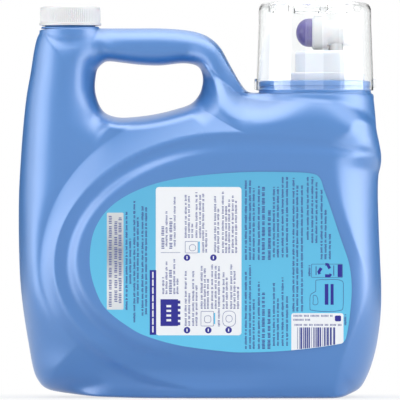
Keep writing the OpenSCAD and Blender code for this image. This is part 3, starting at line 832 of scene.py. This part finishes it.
def ribbon(line, width, low, high, closed=True, side=-1):
    """A thin drawn line on the panel: the path moved half its width to either side along its normal."""
    ahead = np.roll(line, -1, axis=0) - np.roll(line, 1, axis=0)
    if not closed:
        ahead[0], ahead[-1] = line[1] - line[0], line[-1] - line[-2]
    normal = np.stack([-ahead[:, 1], ahead[:, 0]], 1) / np.linalg.norm(ahead, axis=1, keepdims=True)
    n = len(line)
    a, b = line - normal * width / 2, line + normal * width / 2
    y = side * (JUG_D / 2 + np.array([high, high, low, low]))
    flat = np.stack([a, b, b, a], 1)
    p = np.stack([flat[..., 0], np.broadcast_to(y, (n, 4)), flat[..., 1]], 2)
    faces = grid_faces(n, 4)
    if not closed:
        last = (n - 1) * 4
        faces = np.concatenate([faces[:last], [(0, 1, 2, 3), (last + 3, last + 2, last + 1, last)]])
    return p.reshape(-1, 3), faces


def disc(x, z, r, low, high):
    """A round plate of 24 sides."""
    a = np.arange(24) * np.pi / 12
    return plate(np.stack([x + r * np.cos(a), z + r * np.sin(a)], 1), low, high)


def turn(degrees):
    """Matrix that turns (x, z) rows by an angle."""
    a = math.radians(degrees)
    return np.array([(math.cos(a), math.sin(a)), (-math.sin(a), math.cos(a))])


def small_jug(points, count):
    """One of the jug's lines as a small drawing on its side: x from its height, and z from its x."""
    line = whole(points, count)
    return np.stack([77.8 + (CAP_HI[2] - line[:, 1]) * 0.09, 74.7 + line[:, 0] * 0.088], 1)


def label_foot(x):
    """Height of the label's lower edge at x, from the label's own outline."""
    line = curve(LABEL, np.linspace(5, 20, 400, endpoint=False))
    order = np.argsort(line[:, 0])
    low = line[order][:, 0], line[order][:, 1]
    return np.interp(x, *low)


def ink(name, colour):
    """Flexo print on polypropylene film: an even, slightly glossy coat of ink."""
    return moulded_plastic(name + " print on polypropylene film", colour, 0.4, pitch=1500.0)


def silver_ink_painted_reflection():
    """Silver ink with a painted reflection: light and dark bands up the banner, lightest a quarter of the way
    up and darkest just above its middle, stand in for lamps mirrored in foil.
    """
    material, tree = new_material("silver print on polypropylene film")
    where = add_node(tree, "ShaderNodeTexCoord")
    parts = add_node(tree, "ShaderNodeSeparateXYZ", links={"Vector": where.outputs["Object"]})
    painted_light_height = add_node(
        tree, "ShaderNodeMapRange", {"From Min": 64 * MM, "From Max": 135 * MM}, {"Value": parts.outputs["Z"]}
    )
    # Painted reflection: this ramp up the banner paints the foil's light and dark bands
    painted_reflection = add_node(tree, "ShaderNodeValToRGB", links={"Fac": painted_light_height.outputs["Result"]})
    stops = painted_reflection.color_ramp.elements
    stops[0].color, stops[1].color = linear("#DADDDF"), linear("#D4D6D6")
    for place, colour in ((0.25, "#E9EAEA"), (0.5, "#B4B8BC"), (0.62, "#A9ADB2"), (0.8, "#C9CCCE")):
        stops.new(place).color = linear(colour)
    shader = add_node(
        tree, "ShaderNodeBsdfPrincipled", {"Roughness": 0.35, "Metallic": 0.2, "IOR": 1.5},
        {"Base Color": painted_reflection.outputs["Color"]},
    )
    close_material(tree, shader.outputs["BSDF"])
    return material


class JUG_OT_labels(bpy.types.Operator):
    """Label films on both panels and their print as plain fields, strokes and simple shapes"""

    bl_idname = "jug.labels"
    bl_label = "Labels"

    def execute(self, context):
        s = context.scene.jug
        film = label_film("printed polypropylene film, sky blue", s.label_blue, s.label_lit_foot, 33, 164)
        outline = whole(LABEL, 280)
        for node, side in (("back_label", -1), ("front_label", 1)):
            sheet = plate(outline, 0, 0.04, side)
            piece(node + "_film", *sheet, film, node, (node,), smooth=False, slot="label_blue")
        white = ink("white", "#F8F9FB")
        navy = ink("navy", "#14128C")
        fine = ink("fine navy", "#33408F")
        sky = ink("sky", "#55C3EA")
        bar = np.linspace(103.5, 66, 40)
        foot = np.stack([bar, label_foot(bar) + 0.1], 1)
        price = np.concatenate([foot, [
            (65.8, 35.2), (65.8, 60.4), (66.3, 61.5), (67.4, 61.9), (101.8, 61.9), (103, 61.5), (103.5, 60.4),
        ]])
        fields = joined([plate(box_line(-32.3, 29.7, 45.9, 153.2, 2.2), *FIELD), plate(price, *FIELD)])
        banner = plate(box_line(-67.7, -55.7, 64.5, 134.6, 0.8), *FIELD)
        square = plate(box_line(-28.9, -16.2, 52.6, 72, 0.2), *OVER)
        k = np.arange(5)
        comb = slabs(-16.3, -14.6 + 0.25 * (k % 2), 53.2 + 3.9 * k, 55.4 + 3.9 * k, *OVER)
        hook = np.array([(0, 4.6), (1.6, 4.6), (3.2, 1.6)])
        recycle = [
            ribbon(hook @ turn(120 * i) + (90.4, 92.6), 2.2, *OVER, closed=False) for i in range(3)
        ]
        solid = joined([
            plate(box_line(-36.7, -32.0, 46.2, 93.1, 0.15), 0.03, 0.07), square, comb,
            *(disc(x, z, 2.35, *OVER) for x, z in STEP_DISCS),
            plate(box_line(99.3, 102.6, 88.1, 97.1, 0.3), *OVER),
            plate(box_line(97.3, 101.8, 56, 60.2, 1), *LINE),
            slabs([90.0, 94.2], [92.6, 96.4], [68, 68], [83, 83], *OVER), *recycle,
        ])
        marks = joined([
            slabs(-34.9, -33.9, 48 + 5.6 * np.arange(8), 52.6 + 5.6 * np.arange(8), *LINE),
            slabs(-24.6, -21.2, 56 + 3.4 * np.arange(4), 57.6 + 3.4 * np.arange(4), *TOP),
            slabs(
                [-10.1, 9.0, -10.1, 5.3, 20.0], [-9.3, 9.8, -9.3, 6.1, 20.8],
                [101.0, 101.0, 48.5, 48.5, 48.6], [103.2, 103.2, 50.7, 50.7, 50.8], 0.08, 0.11
            ),
        ])
        fine_print = joined([
            ribbon(small_jug(OUTLINE[:, :2], 160), 0.35, *LINE), ribbon(small_jug(OPENING, 60), 0.35, *LINE),
            *(ribbon(box_line(*box), 0.3, *LINE) for box in BOXES),
            *(ribbon(box_line(*box), 0.3, *TOP) for box in BOXES_INSIDE),
            slabs(-28.7, -14.5, 105.6, 105.85, *LINE),
            slabs(83.4, 84.0, 89.5, 95.8, *LINE), slabs(96.2, 96.8, 89, 96.4, *LINE),
            small_print(PRINT_ON_BLUE, 3, 0.8), small_print(PRINT_ON_WHITE, 5),
            small_print(PRINT_ON_SILVER, 7, 1.0), self.price_print(),
        ])
        blue = slabs([-1.5, 9.8], [-0.4, 10.7], [105.5, 54], [113.8, 62], *LINE)
        for name, parts, material in (
            ("label_white_fields", fields, white), ("label_silver_banner", banner, silver_ink_painted_reflection()),
            ("label_navy_fields", solid, navy), ("label_white_marks", marks, white),
            ("label_fine_print", fine_print, fine), ("label_sky_marks", blue, sky),
        ):
            piece(name, *parts, material, "back_label", smooth=False)
        self.front_print(white, navy, sky)
        return {"FINISHED"}

    def front_print(self, white, navy, sky):
        """A white oval with a rim and five dashes, over two sine waves drawn as broad ribbons."""
        a = np.linspace(0, 2 * np.pi, 96, endpoint=False)
        oval = np.stack([24 + 47 * np.cos(a), 116 + 24 * np.sin(a)], 1)
        x = np.linspace(-44, 92, 90)
        low_wave = np.stack([x, 62 + 5 * np.sin((x + 44) / 24)], 1)
        high_wave = low_wave + (0, 9)
        rim = np.stack([24 + 44 * np.cos(a), 116 + 21 * np.sin(a)], 1)
        dots = [slabs(12 * k, 12 * k + 5, 114.5, 117.5, *LINE, side=1) for k in range(5)]
        white_parts = joined([plate(oval, *FIELD, 1), ribbon(high_wave, 4, *FIELD, False, 1)])
        navy_parts = joined([ribbon(rim, 0.8, *LINE, True, 1), ribbon(low_wave, 7, *FIELD, False, 1)])
        for name, parts, material in (
            ("front_label_white_fields", white_parts, white), ("front_label_navy_fields", navy_parts, navy),
            ("front_label_sky_marks", joined(dots), sky),
        ):
            piece(name, *parts, material, "front_label", smooth=False)

    def price_print(self):
        """Upright bars of random widths down to the label's foot, and rows of strokes over them."""
        rng = np.random.default_rng(11)
        width = rng.choice([0.35, 0.7, 1.05, 1.4], 60)
        gap = rng.choice([0.35, 0.35, 0.7, 1.05], 60)
        left = 70.2 + np.cumsum(width + gap) - width - gap
        keep = left + width < 99.4
        left, width = left[keep], width[keep]
        bars = slabs(left, left + width, label_foot(left) + 0.4, 51.6, 0.05, 0.1)
        rows = []
        for z, x0, x1 in ((53.4, 68.2, 101.5), (57.1, 67.4, 80), (60, 67.4, 95.5)):
            x = np.arange(x0, x1, 0.95)
            x = x[~np.isin(np.arange(len(x)), np.cumsum(rng.integers(4, 9, len(x))))]
            rows.append(slabs(x, x + 0.5, z - 0.7, z + 0.7, *LINE))
        return joined([bars, *rows])


def seen_directly(tree):
    """1 for rays from the camera, through clear walls and off gloss, 0 for light that falls on things."""
    path = add_node(tree, "ShaderNodeLightPath")
    straight = add_node(tree, "ShaderNodeMath", links={
        0: path.outputs["Is Camera Ray"], 1: path.outputs["Is Transmission Ray"]}, operation="MAXIMUM")
    mirrored = add_node(tree, "ShaderNodeMath", links={
        0: straight.outputs[0], 1: path.outputs["Is Glossy Ray"]}, operation="MAXIMUM")
    return mirrored.outputs[0]


def studio_floor():
    """White seamless paper: matt near the object, where it holds the shadow, and plain white further out."""
    material, tree = new_material("white seamless paper")
    where = add_node(tree, "ShaderNodeTexCoord")
    far = add_node(tree, "ShaderNodeVectorMath", {1: (1, 2.2, 0)}, {0: where.outputs["Object"]},
                   operation="MULTIPLY")
    far = add_node(tree, "ShaderNodeVectorMath", links={0: far.outputs[0]}, operation="LENGTH")
    fade = add_node(
        tree, "ShaderNodeMapRange", {"From Min": 0.13, "From Max": 0.3, "To Min": 0.7},
        {"Value": far.outputs["Value"]},
        interpolation_type="SMOOTHSTEP",
    )
    share = add_node(tree, "ShaderNodeMath", links={0: seen_directly(tree), 1: fade.outputs["Result"]},
                     operation="MULTIPLY")
    paper = add_node(tree, "ShaderNodeBsdfDiffuse", {"Color": linear("#F7F7F7")})
    white = add_node(tree, "ShaderNodeEmission", {"Color": (1, 1, 1, 1), "Strength": 1.0})
    both = add_node(tree, "ShaderNodeMixShader", links={
        0: share.outputs[0], 1: paper.outputs["BSDF"], 2: white.outputs["Emission"]})
    close_material(tree, both.outputs["Shader"])
    return material


class JUG_OT_studio(bpy.types.Operator):
    """Floor, lights, background and camera"""

    bl_idname = "jug.studio"
    bl_label = "Studio"

    def execute(self, context):
        scene = context.scene
        scene.view_settings.view_transform = "Standard"

        def stand(name, data):
            """A new stage object, linked to the scene and listed."""
            obj = bpy.data.objects.new(name, data)
            scene.collection.objects.link(obj)
            return obj

        def sheet(name, corners, material):
            """A stage object of one quad."""
            mesh = bpy.data.meshes.new(name)
            mesh.from_pydata(corners, [], [(0, 1, 2, 3)])
            mesh.materials.append(material)
            return stand(name, mesh)

        half = 4.0
        corners = [(-half, -half, 0), (half, -half, 0), (half, half, 0), (-half, half, 0)]
        sheet("floor", corners, studio_floor())
        world = bpy.data.worlds.new("white cove")
        world.use_nodes = True
        scene.world = world
        tree = world.node_tree
        tree.nodes.clear()
        lit = add_node(tree, "ShaderNodeBackground", {"Color": linear("#E9ECF0"), "Strength": 0.5})
        white = add_node(tree, "ShaderNodeBackground", {"Color": (1, 1, 1, 1), "Strength": 1.0})
        both = add_node(tree, "ShaderNodeMixShader", links={
            0: seen_directly(tree), 1: lit.outputs["Background"], 2: white.outputs["Background"]})
        add_node(tree, "ShaderNodeOutputWorld", links={"Surface": both.outputs["Shader"]})
        middle = Vector((0, 0, 0.14))
        # Name, place, size, watts, aim, and whether all surfaces, only gloss or only matt ones are lit
        for name, place, size, power, aim, part in (
            ("left box", (-1.1, -0.02, 0.3), (1.0, 1.6), 5, middle, "all"),
            ("right box", (1.05, -0.34, 0.3), (0.8, 1.6), 5, middle, "all"),
            ("top box", (0.0, 0.15, 1.3), (1.6, 2.0), 11, middle, "all"),
            ("front fill", (0.0, -2.4, 0.4), (1.6, 1.2), 13.5, middle, "matt"),
            ("left reflector", (-1.1, -0.45, 0.3), (0.9, 1.8), 16, middle, "gloss"),
            ("right reflector", (1.05, -0.1, 0.3), (0.9, 1.8), 20, middle, "gloss"),
            ("top reflector", (0.0, -0.2, 1.2), (1.2, 1.0), 14, middle, "gloss"),
            ("left floor card", (-0.62, -0.4, 0.01), (0.8, 0.6), 5, (-0.62, -0.4, 1), "gloss"),
            ("right floor card", (0.65, -0.45, 0.01), (0.8, 0.6), 4.5, (0.65, -0.45, 1), "gloss"),
        ):
            light = bpy.data.lights.new(name, "AREA")
            light.shape = "RECTANGLE"
            light.size, light.size_y = size
            light.energy = power
            lamp = stand(name, light)
            lamp.visible_diffuse, lamp.visible_glossy = part != "gloss", part != "matt"
            lamp.location = place
            lamp.rotation_mode = "QUATERNION"
            lamp.rotation_quaternion = (Vector(aim) - Vector(place)).to_track_quat("-Z", "Y")
        # Flags that only gloss sees: the rims of the jug mirror them, and so turn darker
        felt, tree = new_material("black felt flag")
        cloth = add_node(tree, "ShaderNodeBsdfDiffuse", {"Color": linear("#15171B")})
        close_material(tree, cloth.outputs["BSDF"])
        for side in (-1, 1):
            edge, back = (0.32 * side, 1.1), (1.3 * side, 0.75)
            flag = sheet("flag", [(*edge, 0.02), (*back, 0.02), (*back, 1.3), (*edge, 1.3)], felt)
            flag.visible_camera = flag.visible_diffuse = flag.visible_shadow = False
            flag.visible_transmission = False
        # A long lens straight in front, with 0.292 m across the picture
        camera = bpy.data.cameras.new("camera")
        camera.sensor_width = 36
        far = 6.0
        photo_width = 0.292
        camera.lens = camera.sensor_width * far / photo_width
        eye = bpy.data.objects.new("camera", camera)
        eye.location = (-0.0003, -far, 0.1438)
        eye.rotation_euler = (math.radians(90), 0, 0)
        scene.collection.objects.link(eye)
        scene.camera = eye
        return {"FINISHED"}


STEPS = (
    JUG_OT_skin, JUG_OT_necks, JUG_OT_vent_cap, JUG_OT_dosing_cup, JUG_OT_tap, JUG_OT_labels, JUG_OT_studio
)


class JUG_PT_panel(bpy.types.Panel):
    """Steps that build the jug, in order"""

    bl_label = "Jug"
    bl_idname = "JUG_PT_panel"
    bl_space_type = "VIEW_3D"
    bl_region_type = "UI"
    bl_category = "Jug"

    def draw(self, context):
        for name in JugSettings.__annotations__:
            self.layout.prop(context.scene.jug, name)
        for step in STEPS:
            self.layout.operator(step.bl_idname)


CLASSES = (JugSettings, *STEPS, JUG_PT_panel)


def register():
    for cls in CLASSES:
        bpy.utils.register_class(cls)
    bpy.types.Scene.jug = bpy.props.PointerProperty(type=JugSettings)


def unregister():
    del bpy.types.Scene.jug
    for cls in reversed(CLASSES):
        bpy.utils.unregister_class(cls)


def main():
    """Registers the add-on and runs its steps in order."""
    register()
    for step in STEPS:
        group, name = step.bl_idname.split(".")
        getattr(getattr(bpy.ops, group), name)()


if __name__ == "__main__":
    main()
